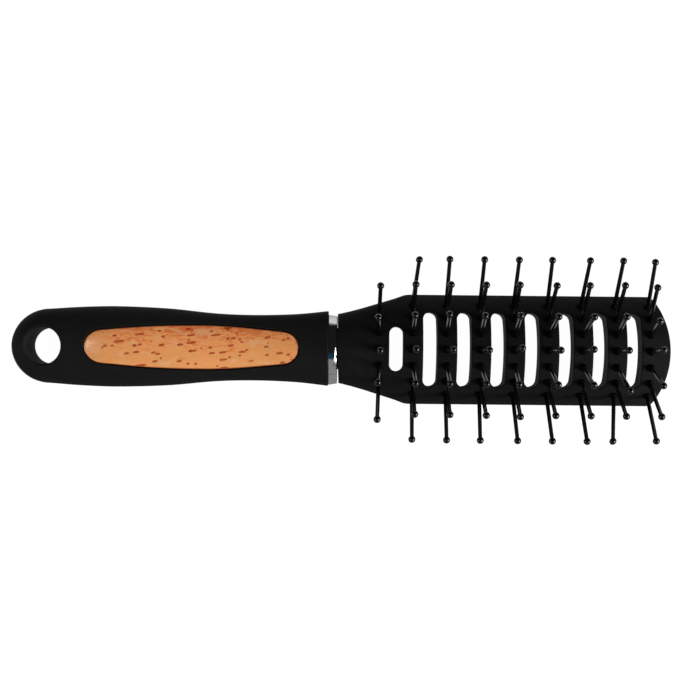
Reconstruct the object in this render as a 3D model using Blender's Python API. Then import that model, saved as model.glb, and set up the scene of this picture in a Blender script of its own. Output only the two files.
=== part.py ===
# A vented hair brush that lies on its back, pins up.
# X runs from the tail of the handle to the end of the head, Y across, Z up.
# The origin is under the middle of the brush, on the surface it lies on.
import math

import bmesh
import bpy
from mathutils import Matrix, Vector

MM = 0.001

# Fits
GAP = 0.3 * MM
OVERRUN = 2.0 * MM

# Lengths along the brush
HANDLE_LENGTH = 107.4 * MM
COLLAR_LENGTH = 2.9 * MM
COLLAR_REVEAL = 0.5 * MM
HEAD_LENGTH = 111.7 * MM

# Handle: half width, underside and top at the tail, belly, waist and mouth
TAIL_LENGTH = 13.4 * MM
TAIL_SIZE = (12.55 * MM, 1.0 * MM, 18.8 * MM)
BELLY_SHARE = 0.339
BELLY_SIZE = (13.62 * MM, 0.0, 20.0 * MM)
WAIST_SHARE = 0.767
WAIST_SIZE = (11.08 * MM, 1.4 * MM, 17.0 * MM)
MOUTH_SIZE = (12.6 * MM, 0.5 * MM, 16.6 * MM)
MOUTH_ROUNDING = 0.6 * MM
HANDLE_SQUARENESS = 2.2
TAIL_SIDE_SQUARENESS = 3.0
SLEEVE_WALL = 2.2 * MM
CORE_NOSE_LENGTH = 6.7 * MM
CORE_TIP_SHARE = 0.12

# Hang hole, with its rim as shares of the rim's size: depth below the top, flare
HOLE_FROM_TAIL = 12.1 * MM
HOLE_RADIUS = 6.15 * MM
HOLE_RIM = 1.4 * MM
HOLE_RIM_SHARES = ((-1.0, 2.0), (0.5, 0.5), (2.0, 0.0))
HOLE_LINING = 2.6 * MM

# Wood inlay, seated through a window in the sleeve
INLAY_FROM_HOLE = 7.95 * MM
INLAY_FROM_MOUTH = 9.8 * MM
INLAY_WIDTH = 14.6 * MM
INLAY_SQUARENESS = 3.1
INLAY_EDGE = 0.35 * MM
INLAY_RING_SHARES = (0.97, 0.75, 0.5, 0.25)

# Neck, tenon through the collar, and tang in the handle
NECK_WIDTH = 23.8 * MM
NECK_BOTTOM = 1.2 * MM
NECK_TOP = 15.6 * MM
NECK_SIDE_RADIUS = 5.35 * MM
NECK_EDGE = 0.4 * MM
TENON_WIDTH = 14.0 * MM
TENON_HEIGHT = 9.0 * MM
TANG_WIDTH = 11.0 * MM
TANG_HEIGHT = 6.0 * MM
TANG_LENGTH = 22.0 * MM
TANG_CROWN_RADIUS = 12.0 * MM

# Chrome collar
COLLAR_STEP = 0.3 * MM
COLLAR_TAPER = 0.7 * MM
COLLAR_EDGE = 0.3 * MM

# Head: an arched shell, its back open as a tunnel, with a pocket for the back plate
HEAD_WIDTH = 37.5 * MM
CROWN_HEIGHT = 14.2 * MM
HEAD_SIDE_RADIUS = 2.13 * MM
FRONT_WALL = 3.4 * MM
BACK_WALL = 2.8 * MM
SHOULDER_LENGTH = 24.0 * MM
CROWN_BLEND_SHARE = 0.55
END_RADIUS = 42.0 * MM
END_CORNER = 3.2 * MM
END_LIP = 1.5 * MM
POCKET_HEIGHT = 3.55 * MM
TUNNEL_HEIGHT = 0.9 * MM
TUNNEL_BEFORE_ROW = 2.8 * MM

# Shoulder outline: share of the shoulder's length, share of the widening
SHOULDER_SHARES = (
    (0.0, 0.0),
    (0.28, 0.25),
    (0.51, 0.49),
    (0.74, 0.74),
    (0.86, 0.885),
    (0.93, 0.965),
    (1.0, 1.0),
)

# Pin rows and the vents between them
ROW_PITCH = 11.475 * MM
FIRST_ROW_FROM_NECK = 13.4 * MM
LAST_ROW_FROM_POCKET = 2.5 * MM
ROW_SIDE_PINS = 3
FIRST_ROW_SIDE_PINS = 2
PIN_FROM_POCKET = 2.58 * MM
FIRST_PIN_FROM_POCKET = 2.0 * MM
SLOT_WIDTH = 5.0 * MM
SLOT_SIDE = 5.85 * MM
FIRST_SLOT_SIDE = 9.7 * MM

# Pins, each row moulded on a curved strip that lies in a groove of the frame
PIN_REACH = 20.9 * MM
BALL_RADIUS = 1.15 * MM
BALL_RING_DEGS = (-25.0, 20.0, 60.0)
SHANK_TIP_RADIUS = 0.48 * MM
SHANK_FOOT_RADIUS = 0.68 * MM
BOSS_RADIUS = 1.35 * MM
BOSS_HEIGHT = 0.95 * MM
STRIP_WIDTH = 3.4 * MM
STRIP_THICKNESS = 1.2 * MM
STRIP_END = 1.85 * MM

# Pins that stand crooked: (row, place from -3 to 3) to degrees along X and across
PIN_LEANS = {
    (1, 2): (0.0, -2.0), (1, 1): (-2.0, -2.5), (1, 0): (0.0, -1.5),
    (1, -1): (-2.0, 0.5), (1, -2): (-2.0, -6.0),
    (2, 3): (4.0, -1.0), (2, 1): (-1.0, 0.0), (2, -3): (-1.5, 0.5),
    (3, 1): (-2.0, 1.0), (3, 0): (1.5, 0.0), (3, -1): (-1.0, 0.0), (3, -3): (-1.5, 0.0),
    (4, 1): (-2.0, 0.0), (4, 0): (1.5, 0.0), (4, -2): (1.0, -0.5), (4, -3): (-2.5, 0.0),
    (5, 2): (-1.5, 0.5), (5, 1): (-2.0, 0.5), (5, 0): (-1.0, 2.0),
    (5, -1): (-3.0, 0.0), (5, -2): (0.0, -1.5),
    (6, 3): (-1.5, 0.0), (6, 0): (1.5, 0.5),
    (7, 3): (1.5, 0.0), (7, 2): (-2.0, 0.5), (7, 0): (-1.0, 1.5),
    (8, 2): (-2.0, 1.0), (8, 1): (-3.0, 0.5), (8, 0): (-1.5, 1.0),
    (8, -1): (1.0, -5.0), (8, -3): (-8.5, 0.5),
    (9, 3): (-3.0, -1.5), (9, 2): (-5.0, -1.0), (9, 1): (-5.5, -3.5),
    (9, 0): (-2.5, 1.5), (9, -1): (-1.5, 0.0), (9, -3): (-0.5, 1.5),
}

# How finely each form is divided
HANDLE_POINT_COUNT = 28
CORE_POINT_COUNT = 16
HOLE_POINT_COUNT = 20
INLAY_POINT_COUNT = 28
PIN_SIDE_COUNT = 6
TAIL_SEGMENTS = 6
HANDLE_SEGMENTS = 14
CORE_NOSE_SEGMENTS = 3
CORE_SEGMENTS = 9
CROWN_SEGMENTS = 12
HOLLOW_SEGMENTS = 10
SIDE_SEGMENTS = 3
TAPER_SEGMENTS = 4
CORNER_SEGMENTS = 4
END_SEGMENTS = 8
SLOT_END_SEGMENTS = 4
FLAT_DEG = 0.2
SHARP_DEG = 40.0


def arc_radius(width, bottom, top, side_radius):
    # Radius of the crown that meets two side arcs of the given radius
    across = width / 2 - side_radius
    rise = top - bottom - side_radius
    return (across ** 2 + rise ** 2 - side_radius ** 2) / (2 * (rise - side_radius))


def arc_side(half_width, bottom, top, crown_radius):
    # Radius of the side arcs that meet a crown of the given radius
    rise = bottom - top + crown_radius
    middle = rise - half_width + crown_radius
    rest = half_width ** 2 + rise ** 2 - crown_radius ** 2
    return math.sqrt(middle ** 2 - rest) - middle


def end_drop(y):
    # How far the head's rounded end falls back at this distance from the middle
    return END_RADIUS - math.sqrt(END_RADIUS ** 2 - y ** 2)


# Places along the handle
OVERALL_LENGTH = HANDLE_LENGTH + GAP + COLLAR_LENGTH + COLLAR_REVEAL + HEAD_LENGTH
TAIL_X = -OVERALL_LENGTH / 2
MOUTH_X = TAIL_X + HANDLE_LENGTH
HOLE_X = TAIL_X + HOLE_FROM_TAIL
CORE_X = HOLE_X + HOLE_RADIUS + HOLE_LINING
INLAY_START_X = HOLE_X + HOLE_RADIUS + INLAY_FROM_HOLE
INLAY_END_X = MOUTH_X - INLAY_FROM_MOUTH
INLAY_X = (INLAY_START_X + INLAY_END_X) / 2
HANDLE_STATIONS = (
    (TAIL_LENGTH, *TAIL_SIZE),
    (BELLY_SHARE * HANDLE_LENGTH, *BELLY_SIZE),
    (WAIST_SHARE * HANDLE_LENGTH, *WAIST_SIZE),
    (HANDLE_LENGTH, *MOUTH_SIZE),
)

# Radii and angles of the head's arch, all about one line under the crown
CROWN_RADIUS = arc_radius(HEAD_WIDTH, 0.0, CROWN_HEIGHT, HEAD_SIDE_RADIUS)
NECK_CROWN_RADIUS = arc_radius(NECK_WIDTH, NECK_BOTTOM, NECK_TOP, NECK_SIDE_RADIUS)
NECK_MIDDLE = (NECK_BOTTOM + NECK_TOP) / 2
ARCH_Z = CROWN_HEIGHT - CROWN_RADIUS
SEAT_RADIUS = CROWN_RADIUS - FRONT_WALL
PLATE_RADIUS = SEAT_RADIUS - GAP
TUNNEL_RADIUS = PLATE_RADIUS - BACK_WALL
STRIP_RADIUS = SEAT_RADIUS + STRIP_THICKNESS
POCKET_REACH = math.acos((POCKET_HEIGHT - ARCH_Z) / SEAT_RADIUS)
TUNNEL_REACH = math.acos((TUNNEL_HEIGHT - ARCH_Z) / TUNNEL_RADIUS)
PIN_STEP = (POCKET_REACH - PIN_FROM_POCKET / SEAT_RADIUS) / ROW_SIDE_PINS
START_REACH = PIN_STEP * FIRST_ROW_SIDE_PINS + FIRST_PIN_FROM_POCKET / SEAT_RADIUS

# Places along the head
COLLAR_X = MOUTH_X + GAP
NECK_X = COLLAR_X + COLLAR_LENGTH + COLLAR_REVEAL
SHOULDER_END_X = NECK_X + SHOULDER_LENGTH
HEAD_END_X = NECK_X + HEAD_LENGTH
POCKET_END_X = HEAD_END_X - end_drop(SEAT_RADIUS * math.sin(POCKET_REACH)) - END_LIP
FIRST_ROW_X = NECK_X + FIRST_ROW_FROM_NECK
LAST_ROW_X = POCKET_END_X - LAST_ROW_FROM_POCKET
TUNNEL_X = FIRST_ROW_X - TUNNEL_BEFORE_ROW
ROW_COUNT = round((LAST_ROW_X - FIRST_ROW_X) / ROW_PITCH) + 1
ROW_STEP = (LAST_ROW_X - FIRST_ROW_X) / (ROW_COUNT - 1)


def remove_objects():
    for item in list(bpy.data.objects):
        bpy.data.objects.remove(item, do_unlink=True)


def finish_material(name, color, roughness, metallic=0.0):
    material = bpy.data.materials.new(name)
    material.use_nodes = True
    shader = material.node_tree.nodes["Principled BSDF"]
    shader.inputs["Base Color"].default_value = (*color, 1.0)
    shader.inputs["Roughness"].default_value = roughness
    shader.inputs["Metallic"].default_value = metallic
    return material


def add_object(name, bm, material=None):
    bmesh.ops.recalc_face_normals(bm, faces=bm.faces)
    mesh = bpy.data.meshes.new(name)
    bm.to_mesh(mesh)
    bm.free()
    mesh.shade_smooth()
    mesh.set_sharp_from_angle(angle=math.radians(SHARP_DEG))
    item = bpy.data.objects.new(name, mesh)
    bpy.context.collection.objects.link(item)
    if material:
        mesh.materials.append(material)
    return item


def add_cutter(name, bm):
    item = add_object(name, bm)
    item.hide_render = True
    item.display_type = "WIRE"
    return item


def combine(item, cutter, operation="DIFFERENCE"):
    modifier = item.modifiers.new(cutter.name, "BOOLEAN")
    modifier.operation = operation
    modifier.solver = "EXACT"
    modifier.object = cutter


def add_rings(bm, rings, closed=False):
    # Rings of equal count joined in order, and the last to the first if closed
    loops = [[bm.verts.new(point) for point in ring] for ring in rings]
    following = loops[1:] + loops[:1] if closed else loops[1:]
    for near, far in zip(loops, following):
        for i in range(len(near)):
            j = (i + 1) % len(near)
            bm.faces.new((near[i], near[j], far[j], far[i]))
    return loops


def add_cap(bm, loop, tip=None):
    # A flat cap, or a fan that rises to a tip
    if tip is None:
        bm.faces.new(loop)
        return
    point = bm.verts.new(tip)
    for i in range(len(loop)):
        bm.faces.new((loop[i], loop[(i + 1) % len(loop)], point))


def add_loft(bm, rings, tip=None):
    loops = add_rings(bm, rings)
    add_cap(bm, loops[0])
    add_cap(bm, loops[-1], tip)


def loft(rings, tip=None):
    # A solid through the rings, its twisted sides split so that each face is flat
    bm = bmesh.new()
    add_loft(bm, rings, tip)
    sides = [face for face in bm.faces if len(face.verts) == 4]
    bmesh.ops.connect_verts_nonplanar(bm, angle_limit=math.radians(FLAT_DEG), faces=sides)
    return bm


def oval(half_width, half_height, squareness, count):
    points = []
    for i in range(count):
        angle = 2 * math.pi * (i + 0.5) / count
        across = math.cos(angle)
        up = math.sin(angle)
        y = half_width * math.copysign(abs(across) ** (2 / squareness), across)
        z = half_height * math.copysign(abs(up) ** (2 / squareness), up)
        points.append((y, z))
    return points


def arch_section(half_width, bottom, top, crown_radius):
    # A crown arc and a flat foot, joined by side arcs that touch both
    centre = top - crown_radius
    side = arc_side(half_width, bottom, top, crown_radius)
    foot = half_width - side
    reach = math.atan2(foot, bottom + side - centre)
    points = []
    for i in range(CROWN_SEGMENTS + 1):
        angle = reach * (2 * i / CROWN_SEGMENTS - 1)
        points.append((crown_radius * math.sin(angle), centre + crown_radius * math.cos(angle)))
    for i in range(1, SIDE_SEGMENTS + 1):
        angle = reach + (math.pi - reach) * i / SIDE_SEGMENTS
        points.append((foot + side * math.sin(angle), bottom + side + side * math.cos(angle)))
    right = points[CROWN_SEGMENTS + 1:]
    points.append((0.0, bottom))
    points.extend((-y, z) for y, z in reversed(right))
    return points


def ring_at(x, section):
    return [(x, y, z) for y, z in section]


def smooth(share):
    return share * share * (3 - 2 * share)


def between(start, end, share):
    return start + (end - start) * share


def station_slope(i, column):
    first = HANDLE_STATIONS[max(i - 1, 0)]
    last = HANDLE_STATIONS[min(i + 1, len(HANDLE_STATIONS) - 1)]
    return (last[column] - first[column]) / (last[0] - first[0])


def station_value(distance, column):
    # A cubic through the stations with the slopes of their neighbours
    i = 0
    while i < len(HANDLE_STATIONS) - 2 and distance > HANDLE_STATIONS[i + 1][0]:
        i += 1
    start = HANDLE_STATIONS[i]
    end = HANDLE_STATIONS[i + 1]
    span = end[0] - start[0]
    t = (distance - start[0]) / span
    value = between(start[column], end[column], smooth(t))
    value += span * station_slope(i, column) * t * (1 - t) ** 2
    value -= span * station_slope(i + 1, column) * t * t * (1 - t)
    return value


def handle_size(x):
    # Half width, middle height and half height of the handle at x
    distance = x - TAIL_X
    inner = max(distance, TAIL_LENGTH)
    half_width = station_value(inner, 1)
    bottom = station_value(inner, 2)
    top = station_value(inner, 3)
    half_height = (top - bottom) / 2
    if distance < TAIL_LENGTH:
        share = min(1.0, 1 - distance / TAIL_LENGTH)
        half_width *= math.sqrt(1 - share ** 2)
        half_height *= (1 - share ** TAIL_SIDE_SQUARENESS) ** (1 / TAIL_SIDE_SQUARENESS)
    return half_width, (top + bottom) / 2, half_height


def handle_ring(x, inset=0.0, count=HANDLE_POINT_COUNT, scale=1.0):
    half_width, middle, half_height = handle_size(x)
    section = oval((half_width - inset) * scale, (half_height - inset) * scale, HANDLE_SQUARENESS, count)
    return [(x, y, middle + z) for y, z in section]


def handle_top(x, y, depth=0.0):
    # Height of the handle's top, or of the surface at a depth under it
    half_width, middle, half_height = handle_size(x)
    share = min(1.0, abs(y) / (half_width - depth))
    rise = (1 - share ** HANDLE_SQUARENESS) ** (1 / HANDLE_SQUARENESS)
    return middle + (half_height - depth) * rise


def sleeve_rings():
    rings = [handle_ring(MOUTH_X, inset=MOUTH_ROUNDING)]
    straight = HANDLE_LENGTH - TAIL_LENGTH - MOUTH_ROUNDING
    for i in range(HANDLE_SEGMENTS, 0, -1):
        rings.append(handle_ring(TAIL_X + TAIL_LENGTH + straight * i / HANDLE_SEGMENTS))
    for i in range(TAIL_SEGMENTS, 0, -1):
        angle = math.pi / 2 * i / TAIL_SEGMENTS
        rings.append(handle_ring(TAIL_X + TAIL_LENGTH * (1 - math.cos(angle))))
    return rings


def core_rings(inset, start_x, end_x):
    rings = []
    for i in range(CORE_NOSE_SEGMENTS):
        angle = math.pi / 2 * between(CORE_TIP_SHARE, 1.0, i / CORE_NOSE_SEGMENTS)
        x = start_x + CORE_NOSE_LENGTH * (1 - math.cos(angle))
        rings.append(handle_ring(x, inset, CORE_POINT_COUNT, math.sin(angle)))
    for i in range(CORE_SEGMENTS):
        x = between(start_x + CORE_NOSE_LENGTH, MOUTH_X, i / CORE_SEGMENTS)
        rings.append(handle_ring(x, inset, CORE_POINT_COUNT))
    mouth = handle_ring(MOUTH_X, inset, CORE_POINT_COUNT)
    rings.append([(end_x, y, z) for x, y, z in mouth])
    return rings


def hang_hole():
    _, middle, half_height = handle_size(HOLE_X)
    levels = [(half_height - depth * HOLE_RIM, flare * HOLE_RIM) for depth, flare in HOLE_RIM_SHARES]
    profile = levels + [(-z, flare) for z, flare in reversed(levels)]
    rings = []
    for z, flare in profile:
        radius = HOLE_RADIUS + flare
        ring = []
        for i in range(HOLE_POINT_COUNT):
            angle = 2 * math.pi * (i + 0.5) / HOLE_POINT_COUNT
            ring.append((HOLE_X + radius * math.cos(angle), radius * math.sin(angle), middle + z))
        rings.append(ring)
    return loft(rings)


def inlay_outline(grow=0.0):
    half_length = (INLAY_END_X - INLAY_START_X) / 2 + grow
    points = oval(half_length, INLAY_WIDTH / 2 + grow, INLAY_SQUARENESS, INLAY_POINT_COUNT)
    return [(INLAY_X + x, y) for x, y in points]


def inlay_ring(outline, share, depth):
    # The outline drawn in by a share, laid on the handle's top or at a depth under it
    ring = [(between(INLAY_X, x, share), y * share) for x, y in outline]
    return [(x, y, handle_top(x, y, depth)) for x, y in ring]


def inlay_window():
    outline = inlay_outline(GAP)
    middle = handle_size(INLAY_X)[1]
    above = max(size[2] for size in (TAIL_SIZE, BELLY_SIZE, WAIST_SIZE, MOUTH_SIZE)) + OVERRUN
    return loft([[(x, y, z) for x, y in outline] for z in (middle, above)])


def build_sleeve(material):
    tip = (TAIL_X, 0.0, handle_size(TAIL_X + TAIL_LENGTH)[1])
    sleeve = add_object("grip_sleeve", loft(sleeve_rings(), tip), material)
    cavity = loft(core_rings(SLEEVE_WALL, CORE_X, MOUTH_X + OVERRUN))
    combine(sleeve, add_cutter("sleeve_cavity", cavity))
    combine(sleeve, add_cutter("hang_hole", hang_hole()))
    combine(sleeve, add_cutter("inlay_window", inlay_window()))


def build_inlay(material):
    outline = inlay_outline()
    bottom = [inlay_ring(outline, share, SLEEVE_WALL) for share in reversed(INLAY_RING_SHARES[1:])]
    bottom.append(inlay_ring(outline, 1.0, SLEEVE_WALL))
    rim = [(x, y, z - INLAY_EDGE) for x, y, z in inlay_ring(outline, 1.0, 0.0)]
    top = [inlay_ring(outline, share, 0.0) for share in INLAY_RING_SHARES]
    bm = bmesh.new()
    loops = add_rings(bm, [*bottom, rim, *top])
    add_cap(bm, loops[0], (INLAY_X, 0.0, handle_top(INLAY_X, 0.0, SLEEVE_WALL)))
    add_cap(bm, loops[-1], (INLAY_X, 0.0, handle_top(INLAY_X, 0.0)))
    add_object("wood_inlay", bm, material)


def bar_section(width, height, grow):
    # The tang's or tenon's section, on the middle height of the neck
    half_height = height / 2 + grow
    return arch_section(width / 2 + grow, NECK_MIDDLE - half_height, NECK_MIDDLE + half_height,
                        TANG_CROWN_RADIUS + grow)


def tang_section(grow=0.0):
    return bar_section(TANG_WIDTH, TANG_HEIGHT, grow)


def tenon_section(grow=0.0):
    return bar_section(TENON_WIDTH, TENON_HEIGHT, grow)


def build_core(material):
    core = add_object("handle_core", loft(core_rings(SLEEVE_WALL + GAP, CORE_X + GAP, MOUTH_X)), material)
    section = tang_section(GAP)
    ends = (MOUTH_X + OVERRUN, MOUTH_X - TANG_LENGTH - GAP)
    socket = loft([ring_at(x, section) for x in ends])
    combine(core, add_cutter("tang_socket", socket))


def collar_section(change):
    return arch_section(NECK_WIDTH / 2 + change, NECK_BOTTOM - change, NECK_TOP + change,
                        NECK_CROWN_RADIUS + change)


def build_collar(material):
    end_x = COLLAR_X + COLLAR_LENGTH
    stations = (
        (COLLAR_X, COLLAR_STEP - COLLAR_EDGE),
        (COLLAR_X + COLLAR_EDGE, COLLAR_STEP),
        (end_x - COLLAR_EDGE, COLLAR_STEP - COLLAR_TAPER),
        (end_x, COLLAR_STEP - COLLAR_TAPER - COLLAR_EDGE),
    )
    bore = tenon_section(GAP)
    rings = [ring_at(x, collar_section(change)) for x, change in stations]
    rings += [ring_at(x, bore) for x in (end_x, COLLAR_X)]
    bm = bmesh.new()
    add_rings(bm, rings, closed=True)
    add_object("chrome_collar", bm, material)


def shoulder_share(x):
    return min(1.0, max(0.0, (x - NECK_X) / SHOULDER_LENGTH))


def head_half_width(x):
    share = shoulder_share(x)
    for start, end in zip(SHOULDER_SHARES, SHOULDER_SHARES[1:]):
        if share <= end[0]:
            widening = between(start[1], end[1], (share - start[0]) / (end[0] - start[0]))
            break
    return between(NECK_WIDTH, HEAD_WIDTH, widening) / 2


def head_section(x, inset=0.0):
    # The crown grows rounder towards the neck, where the side arcs keep their size
    share = min(1.0, shoulder_share(x) / CROWN_BLEND_SHARE)
    half_width = head_half_width(x)
    bottom = between(NECK_BOTTOM, 0.0, smooth(share))
    top = between(NECK_TOP, CROWN_HEIGHT, smooth(share))
    radius = CROWN_RADIUS
    if share < 1.0:
        wide = head_half_width(NECK_X + SHOULDER_LENGTH * CROWN_BLEND_SHARE)
        side = between(NECK_SIDE_RADIUS, arc_side(wide, 0.0, CROWN_HEIGHT, CROWN_RADIUS), smooth(share))
        radius = arc_radius(2 * half_width, bottom, top, side)
    return arch_section(half_width - inset, bottom + inset, top - inset, radius - inset)


def row_x(row):
    return FIRST_ROW_X + (row - 1) * ROW_STEP


def slot_x(slot):
    return row_x(slot) + ROW_STEP / 2


def head_rings():
    rings = [ring_at(x, tang_section()) for x in (MOUTH_X - TANG_LENGTH, MOUTH_X)]
    rings += [ring_at(x, tenon_section()) for x in (MOUTH_X + GAP, NECK_X)]
    rings.append(ring_at(NECK_X, head_section(NECK_X, NECK_EDGE)))
    stations = [NECK_X + NECK_EDGE]
    stations += [NECK_X + SHOULDER_LENGTH * share for share, _ in SHOULDER_SHARES[1:]]
    stations += [slot_x(slot) for slot in range(2, ROW_COUNT)]
    rings += [ring_at(x, head_section(x)) for x in stations]
    rings.append(ring_at(HEAD_END_X + OVERRUN, head_section(HEAD_END_X)))
    return rings


def head_plan():
    # The plan outline that trims the end of the head: a wide arc, two corner arcs and straight sides
    side = HEAD_WIDTH / 2 + GAP / 2
    centre_y = side - END_CORNER
    lean = math.asin(centre_y / (END_RADIUS - END_CORNER))
    centre_x = HEAD_END_X - END_RADIUS + (END_RADIUS - END_CORNER) * math.cos(lean)
    points = [(MOUTH_X - TANG_LENGTH - OVERRUN, side)]
    for i in range(CORNER_SEGMENTS + 1):
        angle = between(math.pi / 2, lean, i / CORNER_SEGMENTS)
        points.append((centre_x + END_CORNER * math.cos(angle), centre_y + END_CORNER * math.sin(angle)))
    for i in range(1, END_SEGMENTS):
        y = END_RADIUS * math.sin(lean) * (1 - i / END_SEGMENTS)
        points.append((HEAD_END_X - end_drop(y), y))
    mirrored = [(x, -y) for x, y in reversed(points)]
    outline = [*points, (HEAD_END_X, 0.0), *mirrored]
    levels = (-OVERRUN, CROWN_HEIGHT + OVERRUN)
    return loft([[(x, y, z) for x, y in outline] for z in levels])


def arc_points(radius, reach):
    points = []
    for i in range(HOLLOW_SEGMENTS + 1):
        angle = reach * (2 * i / HOLLOW_SEGMENTS - 1)
        points.append((radius * math.sin(angle), ARCH_Z + radius * math.cos(angle)))
    return points


def hollow_reach(x, full_reach):
    # Half angle of a hollow under the crown: it widens along the shoulder
    share = min(1.0, max(0.0, (x - TUNNEL_X) / (SHOULDER_END_X - TUNNEL_X)))
    return between(START_REACH, full_reach, share)


def hollow_stations(start_x, end_x):
    taper = [between(start_x, SHOULDER_END_X, i / TAPER_SEGMENTS) for i in range(TAPER_SEGMENTS + 1)]
    return [*taper, end_x]


def sector_rings(inner, outer, trim, start_x, end_x):
    rings = []
    for x in hollow_stations(start_x, end_x):
        reach = hollow_reach(x, POCKET_REACH) - trim / TUNNEL_RADIUS
        ring = arc_points(outer, reach) + list(reversed(arc_points(inner, reach)))
        rings.append(ring_at(x, ring))
    return rings


def plate_pocket():
    # It reaches a little into the tunnel, so that the two cuts open into one
    return loft(sector_rings(TUNNEL_RADIUS - 2 * GAP, SEAT_RADIUS, 0.0, TUNNEL_X, POCKET_END_X))


def tunnel():
    rings = []
    for x in hollow_stations(TUNNEL_X + 2 * GAP, HEAD_END_X + OVERRUN):
        roof = arc_points(TUNNEL_RADIUS, hollow_reach(x, TUNNEL_REACH))
        edge_y, edge_z = roof[-1]
        floor = min(edge_z, 0.0) - OVERRUN
        rings.append(ring_at(x, roof + [(edge_y, floor), (-edge_y, floor)]))
    return loft(rings)


def slots():
    bm = bmesh.new()
    for slot in range(1, ROW_COUNT):
        side_wall = FIRST_SLOT_SIDE if slot == 1 else SLOT_SIDE
        radius = SLOT_WIDTH / 2
        straight = head_half_width(slot_x(slot)) - side_wall - radius
        outline = []
        for side in (1, -1):
            for i in range(SLOT_END_SEGMENTS + 1):
                angle = math.pi * i / SLOT_END_SEGMENTS
                x = slot_x(slot) + side * radius * math.cos(angle)
                outline.append((x, side * (straight + radius * math.sin(angle))))
        levels = (-OVERRUN, CROWN_HEIGHT + OVERRUN)
        add_loft(bm, [[(x, y, z) for x, y in outline] for z in levels])
    return bm


def row_places(row):
    side = FIRST_ROW_SIDE_PINS if row == 1 else ROW_SIDE_PINS
    return range(-side, side + 1)


def pin_frame(row, place):
    # Origin on the crown surface, Z along the pin
    turn = Matrix.Rotation(-place * PIN_STEP, 4, "X")
    start = Matrix.Translation((row_x(row), 0.0, ARCH_Z))
    return start @ turn @ Matrix.Translation((0.0, 0.0, CROWN_RADIUS))


def add_turned(bm, frame, profile, tip=None, lean=(0.0, 0.0)):
    # A turned form: (height, radius) pairs; above the boss it follows its lean
    slope_x = math.tan(math.radians(lean[0]))
    slope_y = math.tan(math.radians(lean[1]))
    rings = []
    for height, radius in profile:
        over = max(0.0, height - BOSS_HEIGHT)
        ring = []
        for i in range(PIN_SIDE_COUNT):
            angle = 2 * math.pi * (i + 0.5) / PIN_SIDE_COUNT
            x = over * slope_x + radius * math.cos(angle)
            y = over * slope_y + radius * math.sin(angle)
            ring.append(frame @ Vector((x, y, height)))
        rings.append(ring)
    end = None
    if tip:
        over = tip - BOSS_HEIGHT
        end = frame @ Vector((over * slope_x, over * slope_y, tip))
    add_loft(bm, rings, end)


def pin_profile():
    neck = math.sqrt(BALL_RADIUS ** 2 - SHANK_TIP_RADIUS ** 2)
    rings = [
        (STRIP_RADIUS - STRIP_THICKNESS / 2 - CROWN_RADIUS, BOSS_RADIUS),
        (0.0, BOSS_RADIUS),
        (BOSS_HEIGHT, SHANK_FOOT_RADIUS),
        (PIN_REACH - neck, SHANK_TIP_RADIUS),
    ]
    for degrees in BALL_RING_DEGS:
        angle = math.radians(degrees)
        rings.append((PIN_REACH + BALL_RADIUS * math.sin(angle), BALL_RADIUS * math.cos(angle)))
    return rings


def pin_holes():
    bm = bmesh.new()
    radius = BOSS_RADIUS + GAP
    profile = ((STRIP_RADIUS - CROWN_RADIUS, radius), (BOSS_HEIGHT, radius))
    for row in range(1, ROW_COUNT + 1):
        for place in row_places(row):
            add_turned(bm, pin_frame(row, place), profile)
    return bm


def add_strip(bm, row, trim, inner, outer):
    # A curved bar across the head, under one row of pins
    half_width = STRIP_WIDTH / 2 + trim
    reach = PIN_STEP * row_places(row)[-1] + STRIP_END / SEAT_RADIUS + trim / outer
    rings = []
    for i in range(HOLLOW_SEGMENTS + 1):
        angle = reach * (2 * i / HOLLOW_SEGMENTS - 1)
        ring = []
        for side, radius in ((-1, inner), (1, inner), (1, outer), (-1, outer)):
            x = row_x(row) + side * half_width
            ring.append((x, radius * math.sin(angle), ARCH_Z + radius * math.cos(angle)))
        rings.append(ring)
    add_loft(bm, rings)


def strip_grooves():
    bm = bmesh.new()
    for row in range(1, ROW_COUNT + 1):
        add_strip(bm, row, GAP, PLATE_RADIUS, STRIP_RADIUS + GAP)
    return bm


def build_head_frame(material):
    frame = add_object("head_frame", loft(head_rings()), material)
    combine(frame, add_cutter("head_plan", head_plan()), "INTERSECT")
    combine(frame, add_cutter("plate_pocket", plate_pocket()))
    combine(frame, add_cutter("tunnel", tunnel()))
    vents = add_cutter("vent_slots", slots())
    combine(frame, vents)
    combine(frame, add_cutter("strip_grooves", strip_grooves()))
    combine(frame, add_cutter("pin_holes", pin_holes()))
    return vents


def build_back_plate(material, vents):
    rings = sector_rings(TUNNEL_RADIUS, PLATE_RADIUS, GAP, TUNNEL_X + GAP, POCKET_END_X - GAP)
    plate = add_object("head_back_plate", loft(rings), material)
    combine(plate, vents)


def build_pin_strip(row, material):
    strip = bmesh.new()
    add_strip(strip, row, 0.0, SEAT_RADIUS, STRIP_RADIUS)
    pins = bmesh.new()
    for place in row_places(row):
        lean = PIN_LEANS.get((row, place), (0.0, 0.0))
        add_turned(pins, pin_frame(row, place), pin_profile(), PIN_REACH + BALL_RADIUS, lean)
    item = add_object(f"pin_strip_{row}", strip, material)
    combine(item, add_cutter(f"pins_{row}", pins), "UNION")


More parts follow.
